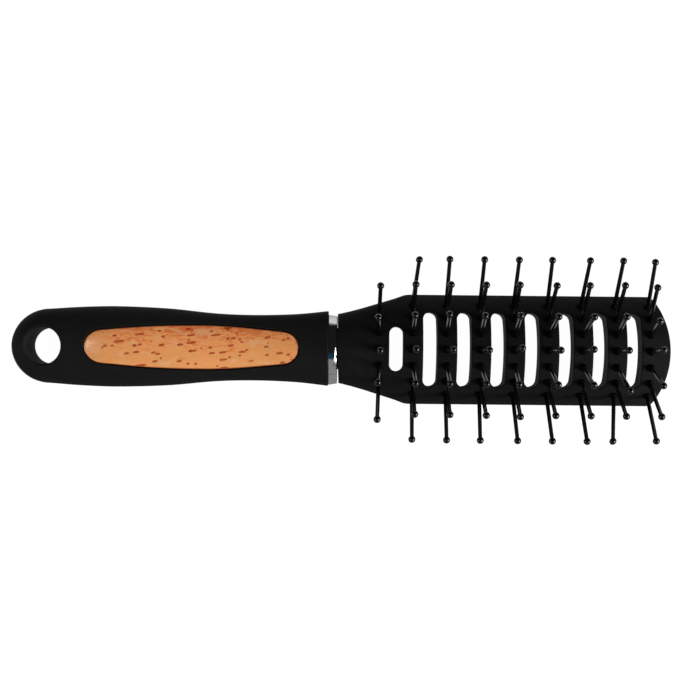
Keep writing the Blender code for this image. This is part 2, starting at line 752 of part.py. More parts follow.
def build():
    remove_objects()
    shell = finish_material("shell_black", (0.010, 0.011, 0.011), 0.45)
    inner = finish_material("inner_black", (0.012, 0.012, 0.012), 0.6)
    soft = finish_material("soft_black", (0.009, 0.010, 0.010), 0.6)
    gloss = finish_material("pin_black", (0.008, 0.008, 0.009), 0.25)
    chrome = finish_material("chrome", (0.8, 0.8, 0.82), 0.08, 1.0)
    wood = finish_material("wood", (0.62, 0.30, 0.13), 0.4)
    build_sleeve(soft)
    build_core(inner)
    build_inlay(wood)
    build_collar(chrome)
    vents = build_head_frame(shell)
    build_back_plate(shell, vents)
    for row in range(1, ROW_COUNT + 1):
        build_pin_strip(row, gloss)


build()
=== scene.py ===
import math

import bpy
from mathutils import Matrix, Vector


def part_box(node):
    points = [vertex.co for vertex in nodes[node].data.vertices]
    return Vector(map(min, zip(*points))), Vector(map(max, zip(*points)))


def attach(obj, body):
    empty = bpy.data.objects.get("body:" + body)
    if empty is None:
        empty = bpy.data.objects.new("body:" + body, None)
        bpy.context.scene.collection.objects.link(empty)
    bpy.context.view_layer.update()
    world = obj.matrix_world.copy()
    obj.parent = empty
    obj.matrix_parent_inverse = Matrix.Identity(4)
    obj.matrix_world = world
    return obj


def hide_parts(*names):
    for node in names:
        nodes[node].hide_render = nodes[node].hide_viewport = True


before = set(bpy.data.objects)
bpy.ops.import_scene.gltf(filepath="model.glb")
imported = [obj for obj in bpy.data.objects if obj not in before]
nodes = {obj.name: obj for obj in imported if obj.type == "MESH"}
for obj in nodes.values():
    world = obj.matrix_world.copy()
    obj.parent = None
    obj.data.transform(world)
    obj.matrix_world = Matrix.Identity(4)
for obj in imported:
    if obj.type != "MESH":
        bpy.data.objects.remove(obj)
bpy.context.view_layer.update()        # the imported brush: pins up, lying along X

mm = 0.001

neckReveal = 0.5 * mm        # from the collar's solid to the neck's face
cutterTop, cutterFloor = 25 * mm, -3 * mm        # clear of handle and head, above and below
weldDistance = 1e-7
smoothAngle = 32

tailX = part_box("grip_sleeve")[0].x
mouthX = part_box("grip_sleeve")[1].x
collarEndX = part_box("chrome_collar")[1].x
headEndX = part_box("head_frame")[1].x
neckX = collarEndX + neckReveal


# Tools for every piece

def deselectAll():
    bpy.ops.object.select_all(action="DESELECT")


def makeActive(piece):
    deselectAll()
    piece.select_set(True)
    bpy.context.view_layer.objects.active = piece


def editMesh(piece):
    makeActive(piece)
    bpy.ops.object.mode_set(mode="EDIT")
    bpy.ops.mesh.select_all(action="SELECT")


def leaveEdit():
    bpy.ops.object.mode_set(mode="OBJECT")


def between(start, end, share):
    return start + (end - start) * share


def smoothStep(share):
    share = min(1.0, max(0.0, share))
    return share * share * (3 - 2 * share)


def throughPoints(table, at, endSlope=None):
    # A smooth curve through (place, value) pairs, with the slopes of their neighbours
    i = 0
    while i < len(table) - 2 and at > table[i + 1][0]:
        i += 1
    def slope(k):
        if endSlope is not None and k == len(table) - 1:
            return endSlope
        first, last = table[max(k - 1, 0)], table[min(k + 1, len(table) - 1)]
        return (last[1] - first[1]) / (last[0] - first[0])
    span = table[i + 1][0] - table[i][0]
    t = (at - table[i][0]) / span
    value = between(table[i][1], table[i + 1][1], t * t * (3 - 2 * t))
    value += span * slope(i) * t * (1 - t) ** 2
    return value - span * slope(i + 1) * t * t * (1 - t)


def skin(name, rings):
    # A grid primitive laid over the rings, with its seam merged and its open ends filled
    around, along = len(rings[0]), len(rings) - 1
    deselectAll()
    bpy.ops.mesh.primitive_grid_add(x_subdivisions=around, y_subdivisions=along, size=1)
    piece = bpy.context.object
    piece.name = piece.data.name = name
    for vertex in piece.data.vertices:
        i = round((vertex.co.x + 0.5) * around) % around
        j = round((vertex.co.y + 0.5) * along)
        vertex.co = rings[j][i]
    editMesh(piece)
    bpy.ops.mesh.remove_doubles(threshold=weldDistance)
    bpy.ops.mesh.fill_holes(sides=0)
    bpy.ops.mesh.normals_make_consistent(inside=False)
    leaveEdit()
    return piece


def cut(piece, cutter, operation="DIFFERENCE"):
    # Cuts the piece with a modifier that is applied at once, and removes the cutter
    modifier = piece.modifiers.new("cut", "BOOLEAN")
    modifier.operation = operation
    modifier.solver = "EXACT"
    modifier.object = cutter
    makeActive(piece)
    bpy.ops.object.modifier_apply(modifier=modifier.name)
    bpy.data.objects.remove(cutter)


def joinAll(pieces, name):
    makeActive(pieces[0])
    for piece in pieces:
        piece.select_set(True)
    bpy.ops.object.join()
    joined = bpy.context.object
    joined.name = joined.data.name = name
    return joined


def finishPiece(piece, finish, slotName, *replaced):
    # Smooth shading, the finish, and its place in the brush
    makeActive(piece)
    bpy.ops.object.shade_smooth_by_angle(angle=math.radians(smoothAngle))
    piece.data.materials.clear()
    piece.data.materials.append(finish)
    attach(piece, "root")
    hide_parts(*replaced)
    print("made", piece.name, len(piece.data.polygons), "faces")


def outwards(outline):
    # Unit normals of a closed plan outline that runs anticlockwise
    normals = []
    for i in range(len(outline)):
        (x0, y0), (x1, y1) = outline[i - 1], outline[(i + 1) % len(outline)]
        along = Vector((x1 - x0, y1 - y0)).normalized()
        normals.append((along.y, -along.x))
    return normals


def pushedOut(outline, normals, distance):
    return [(x + nx * distance, y + ny * distance) for (x, y), (nx, ny) in zip(outline, normals)]


def evenlySpaced(outline, count):
    # The same closed outline with its points at equal distances
    closed = outline + outline[:1]
    lengths = [0.0]
    for (x0, y0), (x1, y1) in zip(closed, closed[1:]):
        lengths.append(lengths[-1] + math.hypot(x1 - x0, y1 - y0))
    points, k = [], 0
    for i in range(count):
        at = lengths[-1] * i / count
        while lengths[k + 1] < at:
            k += 1
        share = (at - lengths[k]) / max(lengths[k + 1] - lengths[k], 1e-12)
        (x0, y0), (x1, y1) = closed[k], closed[k + 1]
        points.append((between(x0, x1, share), between(y0, y1, share)))
    return points


# Openings with a rounded rim

rounding = {
    "steps": 6,
    "start": 0.22,               # share of the turn where the cutter's rings begin
    "leastTurn": 0.06,           # a flatter corner than this isn't rounded
    "leastLevel": 0.3,           # on a steeper surface the cutter leaves straight up or down
    "overrun": 1.5,              # in mm
}


def facing(height, x, y, way):
    # Unit normal of a height field, up for way 1 and down for way -1
    step = 0.05 * mm
    slopeX = (height(x + step, y) - height(x - step, y)) / (2 * step)
    slopeY = (height(x, y + step) - height(x, y - step)) / (2 * step)
    return way * Vector((-slopeX, -slopeY, 1.0)).normalized()


def rimRings(outline, walls, height, radius, farZ, way):
    # Rings over the rounded edge between a surface and an upright wall, from farZ to the wall
    steps, start = rounding["steps"], rounding["start"]
    rings = [[] for _ in range(steps + 3)]
    for (x, y), wall in zip(outline, walls):
        top = facing(height, x, y, way)
        lean = min(1.0, wall.dot(top))
        turn = math.acos(lean)
        rounded = turn > rounding["leastTurn"]
        corner = Vector((x, y, height(x, y)))
        centre = corner - (wall + top) * (radius / (1 + lean))
        for k in range(steps + 1):
            share = between(start, 1.0, k / steps)
            direction = wall
            if rounded:
                direction = top * math.sin((1 - share) * turn) + wall * math.sin(share * turn)
                direction /= math.sin(turn)
            rings[k + 2].append(centre + direction * radius)
        away = Vector((0.0, 0.0, way))
        if rounded and abs(top.z) > rounding["leastLevel"]:
            away = (top * math.cos((1 - start) * turn) - wall * math.cos(start * turn)).normalized()
        off = rings[2][-1] + away * rounding["overrun"] * mm
        rings[1].append(off)
        rings[0].append(Vector((off.x, off.y, farZ)))
    return rings


def roundedWell(name, outline, surface, radius, floorZ, topZ, under=None, inside=False):
    # A cutter with upright walls, whose rim is rounded where it meets the surface and the underside.
    # inside=True makes the solid that keeps what is within the outline
    way = 1 if inside else -1
    walls = [Vector((way * x, way * y, 0.0)) for x, y in outwards(outline)]
    rings = rimRings(outline, walls, surface, radius, topZ, 1)
    if under:
        rings += reversed(rimRings(outline, walls, under, radius, floorZ, -1))
    else:
        rings.append([(x, y, floorZ) for x, y in outline])
    return skin(name, rings)


# Handle: the soft sleeve

handle = {
    # From the tail, half width, underside, top, in mm; the tail is rounded up to the first of them
    "stations": (
        (13.4, 12.65, 1.0, 18.8), (24.0, 13.36, 0.45, 19.6), (36.4, 13.67, 0.0, 20.0),
        (53.5, 13.05, 0.45, 18.9), (69.6, 11.54, 1.0, 17.8), (83.0, 11.16, 1.4, 17.0),
        (96.6, 11.63, 1.0, 16.7), (107.4, 12.75, 0.5, 16.6),
    ),
    "squareness": 2.2,
    "planSquareness": 2.06,
    "tailSquareness": 3.0,
    # The nub that the mould's gate leaves on the tail: share of its radius, depth
    "gateRadius": 0.55 * mm,
    "gateProfile": ((0.0, 0.0), (0.75, 0.02 * mm), (1.0, 0.10 * mm), (1.1, 0.30 * mm)),
    "wall": 2.2 * mm,
    "mouthRounding": 0.35 * mm,
    "mouthTurns": (0.35, 0.7, 1.05, math.pi / 2),
    "around": 112,
    "tailRings": 16,
    "bodyRings": 84,
}
tailLength = handle["stations"][0][0] * mm
gateProud = handle["gateProfile"][-1][1]

hangHole = {
    "fromTail": 12.1 * mm,
    "radius": 6.15 * mm,
    "rim": 0.75 * mm,
    "lining": 2.6 * mm,
    "floor": -5 * mm,            # lower end of its cutter
    "points": 96,
}

# Where the core lies: a rounded nose past the hang hole's lining, then straight to the mouth
cavity = {"noseLength": 6.7 * mm, "noseRings": 8, "rings": 30, "around": 48, "overrun": 2 * mm}


def handleSize(x):
    # Half width, middle height and half height of the section
    distance = x - tailX
    inner = max(distance, tailLength) / mm
    halfWidth, bottom, top = (
        throughPoints([(row[0], row[k]) for row in handle["stations"]], inner) * mm for k in (1, 2, 3))
    halfHeight = (top - bottom) / 2
    if distance < tailLength:
        share = min(1.0, 1 - (distance - gateProud) / (tailLength - gateProud))
        squareness, plan = handle["tailSquareness"], handle["planSquareness"]
        halfWidth *= (1 - share ** plan) ** (1 / plan)
        halfHeight *= (1 - share ** squareness) ** (1 / squareness)
    return halfWidth, (top + bottom) / 2, halfHeight


def handleRise(x, y, depth=0.0):
    halfWidth, _, halfHeight = handleSize(x)
    share = min(1.0, abs(y) / max(halfWidth - depth, 1e-6))
    return (halfHeight - depth) * (1 - share ** handle["squareness"]) ** (1 / handle["squareness"])


def handleTop(x, y, depth=0.0):
    return handleSize(x)[1] + handleRise(x, y, depth)


def handleUnder(x, y):
    return handleSize(x)[1] - handleRise(x, y)


def handleRing(x, inset=0.0, scale=1.0, count=handle["around"]):
    halfWidth, middle, halfHeight = handleSize(x)
    power = 2 / handle["squareness"]
    ring = []
    for i in range(count):
        angle = 2 * math.pi * (i + 0.5) / count
        across, up = math.cos(angle), math.sin(angle)
        y = max(0.0, halfWidth - inset) * scale * math.copysign(abs(across) ** power, across)
        z = max(0.0, halfHeight - inset) * scale * math.copysign(abs(up) ** power, up)
        ring.append((x, y, middle + z))
    return ring


def sleeveRings():
    middleZ = handleSize(tailX)[1]
    radius = handle["gateRadius"]
    turns = [2 * math.pi * (i + 0.5) / handle["around"] for i in range(handle["around"])]
    rings = []
    for share, depth in handle["gateProfile"]:
        rings.append([(tailX + depth, radius * share * math.cos(turn),
                       middleZ + radius * share * math.sin(turn)) for turn in turns])
    for i in range(1, handle["tailRings"] + 1):
        turn = math.pi / 2 * i / handle["tailRings"]
        rings.append(handleRing(tailX + gateProud + (tailLength - gateProud) * (1 - math.cos(turn))))
    bend = handle["mouthRounding"]
    straightStart, straightEnd = tailX + tailLength, mouthX - bend
    for i in range(1, handle["bodyRings"] + 1):
        rings.append(handleRing(between(straightStart, straightEnd, i / handle["bodyRings"])))
    for turn in handle["mouthTurns"]:
        rings.append(handleRing(straightEnd + bend * math.sin(turn), bend * (1 - math.cos(turn))))
    return rings


def cavityRings():
    noseX = tailX + hangHole["fromTail"] + hangHole["radius"] + hangHole["lining"]
    wall, around = handle["wall"], cavity["around"]
    rings = []
    for i in range(cavity["noseRings"] + 1):
        turn = math.pi / 2 * i / cavity["noseRings"]
        x = noseX + cavity["noseLength"] * (1 - math.cos(turn))
        rings.append(handleRing(x, wall, math.sin(turn), around))
    for i in range(1, cavity["rings"] + 1):
        x = between(noseX + cavity["noseLength"], mouthX, i / cavity["rings"])
        rings.append(handleRing(x, wall, 1.0, around))
    rings.append([(x + cavity["overrun"], y, z) for x, y, z in rings[-1]])
    return rings


# Inlay: it lies in the sleeve's window

inlay = {
    "fromHole": 7.95 * mm,
    "fromMouth": 10.05 * mm,
    # Share of the length, half width in mm; then the length of each rounded end and its squareness
    "widths": ((0.0, 5.05), (0.16, 6.08), (0.30, 6.87), (0.43, 7.23), (0.58, 7.31), (0.70, 6.96), (0.82, 6.2),
               (0.93, 5.42), (1.0, 4.85)),
    "tailRound": (5.4 * mm, 2.0),
    "headRound": (5.2 * mm, 2.3),
    "samples": 300,
    "points": 200,
    "edge": 0.45 * mm,
    "edgeSteps": 6,
    "underShares": (0.0, 0.5, 0.9, 1.0),
    "topShares": (0.97, 0.93, 0.88, 0.82, 0.75, 0.66, 0.56, 0.45, 0.33, 0.2, 0.08, 0.0),
    "gap": 0.24 * mm,
    "windowRim": 0.42 * mm,
}
inlayStart = tailX + hangHole["fromTail"] + hangHole["radius"] + inlay["fromHole"]
inlayEnd = mouthX - inlay["fromMouth"]
inlayMiddle = (inlayStart + inlayEnd) / 2


def inlayHalfWidth(x):
    half = throughPoints(inlay["widths"], (x - inlayStart) / (inlayEnd - inlayStart)) * mm
    ends = (x - inlayStart, inlay["tailRound"]), (inlayEnd - x, inlay["headRound"])
    for distance, (length, squareness) in ends:
        if distance < length:
            half *= (1 - (1 - max(0.0, distance) / length) ** squareness) ** (1 / squareness)
    return half


def inlayOutline():
    half, samples = (inlayEnd - inlayStart) / 2, inlay["samples"]
    places = [inlayMiddle + half * math.cos(math.pi * i / samples) for i in range(samples + 1)]
    side = [(x, inlayHalfWidth(x)) for x in places]
    return evenlySpaced(side + [(x, -y) for x, y in reversed(side[1:-1])], inlay["points"])


def inlayRing(outline, share, depth=0.0):
    # The outline drawn in towards the middle, on the handle's surface or this deep below it
    ring = []
    for x, y in outline:
        at = between(inlayMiddle, x, share)
        ring.append((at, y * share, handleTop(at, y * share, depth)))
    return ring


def makeSleeve(finish):
    sleeve = skin("gripSleeve", sleeveRings())
    cut(sleeve, skin("cavity", cavityRings()))
    holeX = tailX + hangHole["fromTail"]
    radius = hangHole["radius"]
    turns = [2 * math.pi * i / hangHole["points"] for i in range(hangHole["points"])]
    circle = [(holeX + radius * math.cos(turn), radius * math.sin(turn)) for turn in turns]
    cut(sleeve, roundedWell("hangHole", circle, handleTop, hangHole["rim"], hangHole["floor"], cutterTop,
                            under=handleUnder))
    outline = inlayOutline()
    window = pushedOut(outline, outwards(outline), inlay["gap"])
    cut(sleeve, roundedWell("window", window, handleTop, inlay["windowRim"], handleSize(tailX)[1], cutterTop))
    finishPiece(sleeve, finish, "soft_grip", "grip_sleeve")


def makeInlay(finish):
    outline = inlayOutline()
    normals = outwards(outline)
    edge = inlay["edge"]
    rings = [inlayRing(outline, share, handle["wall"]) for share in inlay["underShares"]]
    for i in range(inlay["edgeSteps"] + 1):
        turn = math.pi / 2 * i / inlay["edgeSteps"]
        plan = pushedOut(outline, normals, -edge * (1 - math.cos(turn)))
        rings.append([(x, y, handleTop(x, y) - edge * (1 - math.sin(turn))) for x, y in plan])
    inner = pushedOut(outline, normals, -edge)
    rings += [inlayRing(inner, share) for share in inlay["topShares"]]
    finishPiece(skin("woodInlay", rings), finish, "inlay_wood", "wood_inlay")


# Head and collar: arched sections

head = {
    "neckHalfWidth": 11.9 * mm,
    "neckBottom": 1.2 * mm,
    "neckTop": 15.6 * mm,
    "neckSide": 5.35 * mm,
    "neckEdge": 0.25 * mm,
    "neckEdgeTurns": (0.0, 0.4, 0.8, 1.2, math.pi / 2),
    "neckShift": 0.42 * mm,      # the neck's face stands this much nearer the collar than its solid's,
    "neckSkew": 0.20 * mm,       # and this much more on one side
    "halfWidth": 18.9 * mm,
    "crownTop": 14.2 * mm,
    "side": 2.13 * mm,
    "frontWall": 3.4 * mm,
    "backWall": 2.8 * mm,
    "gap": 0.3 * mm,
    "shoulder": 24.0 * mm,
    "crownBlend": 0.55,
    # Share of the shoulder's length, share of its widening
    "shoulderCurve": ((0.0, 0.0), (0.28, 0.25), (0.51, 0.49), (0.74, 0.74), (0.86, 0.885), (0.93, 0.972),
                      (1.0, 1.0)),
    "endRadius": 42.0 * mm,
    "endCorner": 3.2 * mm,
    "endLip": 1.5 * mm,
    "endRim": 0.4 * mm,
    "planClear": 0.15 * mm,      # the plan's cutter passes this far outside the sides,
    "planBack": 3.0 * mm,        # and this far behind the tang
    "sideDrop": 20,              # slope that carries the sides on below the widest place
    "pocketHeight": 3.55 * mm,
    "tunnelHeight": 0.9 * mm,
    "cutterOverlap": 0.6 * mm,   # of the pocket's cutter and the tunnel's
    "overrun": 2.0 * mm,
    "crownPoints": 56,
    "sidePoints": 9,
    "footPoints": 8,
    "arcPoints": 40,
    "endPoints": 30,
    "cornerPoints": 12,
    "shoulderRings": 30,
    "bodyRings": 64,
    "taperRings": 12,
    "hollowRings": 40,
}
tenon = {"halfWidth": 7.0 * mm, "halfHeight": 4.5 * mm, "crown": 12.0 * mm}
tang = {"halfWidth": 5.5 * mm, "halfHeight": 3.0 * mm, "crown": 12.0 * mm, "length": 22.0 * mm}
pins = {
    "pitch": 11.475 * mm,
    "firstRow": 13.4 * mm,
    "lastRowFromPocket": 2.5 * mm,
    "sidePins": 3,
    "firstRowSidePins": 2,
    "fromPocket": 2.58 * mm,
    "firstFromPocket": 2.0 * mm,
    "tunnelBeforeRow": 2.8 * mm,
    "reach": 20.75 * mm,
    "ball": 1.2 * mm,
    "ballSteps": 12,
    "shankTip": 0.67 * mm,
    "shankFoot": 0.71 * mm,
    "shankShares": (0.35, 0.7, 0.97),
    "boss": 1.35 * mm,
    "bossStart": 0.1 * mm,
    "bossHeight": 0.95 * mm,
    "bossSteps": 6,
    "bossFillet": 0.12 * mm,
    # The shank's foot above the boss: height, how much wider than the shank
    "foot": ((1.15 * mm, 0.04 * mm), (1.6 * mm, 0.0)),
    "root": 1.6 * mm,
    "around": 20,
    # Pins that stand crooked: row and place to degrees along X and across
    "leans": {
        (1, 2): (0.0, -2.0), (1, 1): (-2.0, -2.5), (1, 0): (0.0, -1.5), (1, -1): (-2.0, 0.5),
        (1, -2): (-2.0, -6.0),
        (2, 3): (4.0, -1.0), (2, 1): (-1.0, 0.0), (2, -3): (-1.5, 0.5),
        (3, 1): (-2.0, 1.0), (3, 0): (1.5, 0.0), (3, -1): (-1.0, 0.0), (3, -3): (-1.5, 0.0),
        (4, 1): (-2.0, 0.0), (4, 0): (1.5, 0.0), (4, -2): (1.0, -0.5), (4, -3): (-2.5, 0.0),
        (5, 2): (-1.5, 0.5), (5, 1): (-2.0, 0.5), (5, 0): (-1.0, 2.0), (5, -1): (-3.0, 0.0),
        (5, -2): (0.0, -1.5),
        (6, 3): (-1.5, 0.0), (6, 0): (1.5, 0.5),
        (7, 3): (1.5, 0.0), (7, 2): (-2.0, 0.5), (7, 0): (-1.0, 1.5),
        (8, 2): (-2.0, 1.0), (8, 1): (-3.0, 0.5), (8, 0): (-1.5, 1.0), (8, -1): (1.0, -5.0),
        (8, -3): (-8.5, 0.5),
        (9, 3): (-3.0, -1.5), (9, 2): (-5.0, -1.0), (9, 1): (-5.5, -3.5), (9, 0): (-2.5, 1.5),
        (9, -1): (-1.5, 0.0), (9, -3): (-0.5, 1.5),
    },
}
vent = {
    "halfWidth": 2.36 * mm,
    "shift": 0.12 * mm,
    "side": 6.27 * mm,
    "firstSide": 10.1 * mm,
    "rim": 0.35 * mm,
    "endPoints": 20,
    "sidePoints": 24,
}


def crownFor(halfWidth, bottom, top, side):
    # Radius of the crown that meets side arcs of this radius
    across, rise = halfWidth - side, top - bottom - side
    return (across ** 2 + rise ** 2 - side ** 2) / (2 * (rise - side))


def sideFor(halfWidth, bottom, top, crown):
    # Radius of the side arcs that meet a crown of this radius
    rise = bottom - top + crown
    middle = rise - halfWidth + crown
    return math.sqrt(middle ** 2 - halfWidth ** 2 - rise ** 2 + crown ** 2) - middle


def archRing(x, halfWidth, bottom, top, crown):
    centre = top - crown
    side = sideFor(halfWidth, bottom, top, crown)
    foot = halfWidth - side
    reach = math.atan2(foot, bottom + side - centre)
    half = []
    for i in range(1, head["sidePoints"] + 1):
        angle = between(reach, math.pi, i / head["sidePoints"])
        half.append((foot + side * math.sin(angle), bottom + side + side * math.cos(angle)))
    section = []
    for i in range(head["crownPoints"] + 1):
        angle = reach * (2 * i / head["crownPoints"] - 1)
        section.append((crown * math.sin(angle), centre + crown * math.cos(angle)))
    section += half
    section += [(between(foot, -foot, i / head["footPoints"]), bottom) for i in range(1, head["footPoints"])]
    section += [(-y, z) for y, z in reversed(half)]
    return [(x, y, z) for y, z in section]


crownRadius = crownFor(head["halfWidth"], 0.0, head["crownTop"], head["side"])
neckCrown = crownFor(head["neckHalfWidth"], head["neckBottom"], head["neckTop"], head["neckSide"])
neckMiddle = (head["neckBottom"] + head["neckTop"]) / 2
archZ = head["crownTop"] - crownRadius
seatRadius = crownRadius - head["frontWall"]
plateRadius = seatRadius - head["gap"]
tunnelRadius = plateRadius - head["backWall"]
pocketReach = math.acos((head["pocketHeight"] - archZ) / seatRadius)
tunnelReach = math.acos((head["tunnelHeight"] - archZ) / tunnelRadius)
pinStep = (pocketReach - pins["fromPocket"] / seatRadius) / pins["sidePins"]
startReach = pinStep * pins["firstRowSidePins"] + pins["firstFromPocket"] / seatRadius


def endDrop(y):
    return head["endRadius"] - math.sqrt(head["endRadius"] ** 2 - y ** 2)


shoulderEndX = neckX + head["shoulder"]
pocketEndX = headEndX - endDrop(seatRadius * math.sin(pocketReach)) - head["endLip"]
firstRowX = neckX + pins["firstRow"]
lastRowX = pocketEndX - pins["lastRowFromPocket"]
tunnelX = firstRowX - pins["tunnelBeforeRow"]
rowCount = round((lastRowX - firstRowX) / pins["pitch"]) + 1
rowStep = (lastRowX - firstRowX) / (rowCount - 1)


def rowX(row):
    return firstRowX + (row - 1) * rowStep


def headHalfWidth(x):
    share = min(1.0, max(0.0, (x - neckX) / head["shoulder"]))
    return between(head["neckHalfWidth"], head["halfWidth"], throughPoints(head["shoulderCurve"], share, 0.0))


def headRing(x, inset=0.0):
    share = min(1.0, max(0.0, (x - neckX) / head["shoulder"] / head["crownBlend"]))
    halfWidth = headHalfWidth(x)
    bottom = between(head["neckBottom"], 0.0, smoothStep(share))
    top = between(head["neckTop"], head["crownTop"], smoothStep(share))
    crown = crownRadius
    if share < 1:
        wide = headHalfWidth(neckX + head["shoulder"] * head["crownBlend"])
        side = between(head["neckSide"], sideFor(wide, 0.0, head["crownTop"], crownRadius), smoothStep(share))
        crown = crownFor(halfWidth, bottom, top, side)
    return archRing(x, halfWidth - inset, bottom + inset, top - inset, crown - inset)


def barRing(x, bar, grow=0.0):
    halfWidth, halfHeight, crown = (bar[key] + grow for key in ("halfWidth", "halfHeight", "crown"))
    return archRing(x, halfWidth, neckMiddle - halfHeight, neckMiddle + halfHeight, crown)


def crownSurface(x, y):
    return archZ + math.sqrt(max(0.0, crownRadius ** 2 - y ** 2))


def headTop(x, y):
    # The full section, with its sides carried on steeply below the widest place
    side = head["side"]
    foot = head["halfWidth"] - side
    across = abs(y)
    if across <= foot * crownRadius / (crownRadius - side):
        return crownSurface(x, y)
    if across < head["halfWidth"]:
        return side + math.sqrt(side ** 2 - (across - foot) ** 2)
    return side - head["sideDrop"] * (across - head["halfWidth"])


def arc(radius, reach):
    made = []
    for i in range(head["arcPoints"] + 1):
        angle = reach * (2 * i / head["arcPoints"] - 1)
        made.append((radius * math.sin(angle), archZ + radius * math.cos(angle)))
    return made


def hollowStations(startX, endX):
    taper, straight = head["taperRings"], head["hollowRings"]
    stations = [between(startX, shoulderEndX, i / taper) for i in range(taper + 1)]
    return stations + [between(shoulderEndX, endX, i / straight) for i in range(1, straight + 1)]


def hollowReach(x, fullReach):
    return between(startReach, fullReach, min(1.0, max(0.0, (x - tunnelX) / (shoulderEndX - tunnelX))))


def sector(name, inner, outer, trim, startX, endX):
    # A curved slab under the crown: the back plate, or the pocket that it lies in
    rings = []
    for x in hollowStations(startX, endX):
        reach = hollowReach(x, pocketReach) - trim / tunnelRadius
        outline = arc(outer, reach) + list(reversed(arc(inner, reach)))
        rings.append([(x, y, z) for y, z in outline])
    return skin(name, rings)


def tunnel():
    # The open channel along the back, from a little past the pocket's start to beyond the end
    rings = []
    for x in hollowStations(tunnelX + head["cutterOverlap"], headEndX + head["overrun"]):
        top = arc(tunnelRadius, hollowReach(x, tunnelReach))
        edgeY = top[-1][0]
        outline = top + [(edgeY, -head["overrun"]), (-edgeY, -head["overrun"])]
        rings.append([(x, y, z) for y, z in outline])
    return skin("tunnel", rings)


def headPlan():
    # Outline seen from above, anticlockwise: the rounded end, its two corners, then straight past the tang
    radius, corner = head["endRadius"], head["endCorner"]
    side = head["halfWidth"] + head["planClear"]
    centreY = side - corner
    lean = math.asin(centreY / (radius - corner))
    centreX = headEndX - radius + (radius - corner) * math.cos(lean)
    lastY = radius * math.sin(lean)
    half = []
    for i in range(1, head["endPoints"]):
        y = lastY * i / head["endPoints"]
        half.append((headEndX - endDrop(y), y))
    for i in range(head["cornerPoints"] + 1):
        angle = between(lean, math.pi / 2, i / head["cornerPoints"])
        half.append((centreX + corner * math.cos(angle), centreY + corner * math.sin(angle)))
    half.append((mouthX - tang["length"] - head["planBack"], side))
    return [(headEndX, 0.0)] + half + [(x, -y) for x, y in reversed(half)]


def ventOutline(slot):
    middleX = rowX(slot) + rowStep / 2 + vent["shift"]
    sideWall = vent["firstSide"] if slot == 1 else vent["side"]
    halfWidth = vent["halfWidth"]
    straight = headHalfWidth(middleX) - sideWall - halfWidth
    outline = []
    for side in (1, -1):
        for i in range(vent["endPoints"] + 1):
            angle = math.pi * i / vent["endPoints"]
            outline.append((middleX + side * halfWidth * math.cos(angle),
                            side * (straight + halfWidth * math.sin(angle))))
        for i in range(1, vent["sidePoints"]):
            outline.append((middleX - side * halfWidth,
                            side * between(straight, -straight, i / vent["sidePoints"])))
    return outline


def ventCutters():
    wells = []
    for slot in range(1, rowCount):
        outline = ventOutline(slot)
        wells.append(roundedWell(f"vent{slot}", outline, crownSurface, vent["rim"], cutterFloor, cutterTop))
    return joinAll(wells, "vents")


def skewed(ring, share):
    slope = share * head["neckSkew"] / head["neckHalfWidth"]
    return [(x - y * slope, y, z) for x, y, z in ring]


def headRings():
    # The tang, the tenon, the neck's rounded face, the shoulders and the straight head
    faceX, edge = neckX - head["neckShift"], head["neckEdge"]
    rings = [barRing(x, tang) for x in (mouthX - tang["length"], mouthX)]
    rings += [barRing(x, tenon) for x in (mouthX + head["gap"], faceX)]
    for turn in head["neckEdgeTurns"]:
        ring = headRing(faceX + edge * (1 - math.cos(turn)), edge * (1 - math.sin(turn)))
        rings.append(skewed(ring, 1.0))
    for i in range(1, head["shoulderRings"] + 1):
        share = i / head["shoulderRings"]
        rings.append(skewed(headRing(between(faceX + edge, shoulderEndX, share)), 1 - share))
    for i in range(1, head["bodyRings"] + 1):
        rings.append(headRing(between(shoulderEndX, headEndX + head["overrun"], i / head["bodyRings"])))
    return rings


def makeHeadFrame(finish):
    shell = skin("headShell", headRings())
    plan = roundedWell("headPlan", headPlan(), headTop, head["endRim"], cutterFloor, cutterTop, inside=True)
    cut(shell, plan, "INTERSECT")
    cut(shell, sector("pocket", tunnelRadius - head["cutterOverlap"], seatRadius, 0.0, tunnelX, pocketEndX))
    cut(shell, tunnel())
    cut(shell, ventCutters())
    finishPiece(shell, finish, "head_plastic", "head_frame")


def makeBackPlate(finish):
    gap = head["gap"]
    plate = sector("backPlate", tunnelRadius, plateRadius, gap, tunnelX + gap, pocketEndX - gap)
    cut(plate, ventCutters())
    finishPiece(plate, finish, "head_plastic", "head_back_plate")


collar = {
    "start": mouthX + 0.03 * mm,
    "end": collarEndX - 0.2 * mm,
    "proud": 0.12 * mm,          # over the neck, at its handle side
    "taper": 0.5 * mm,           # how much lower it is at the head,
    "dip": 0.5 * mm,             # and how far its crown dips there besides
    "dipWidth": (6.0 * mm, 8.6 * mm),        # half widths of the full dip and of all of it
    "dipPower": 3,
    "shift": -0.45 * mm,         # the ring sits a little to one side on the tenon
    "edge": 0.22 * mm,
    "edgeTurns": (0.5, 1.0),
    "steps": 14,
}


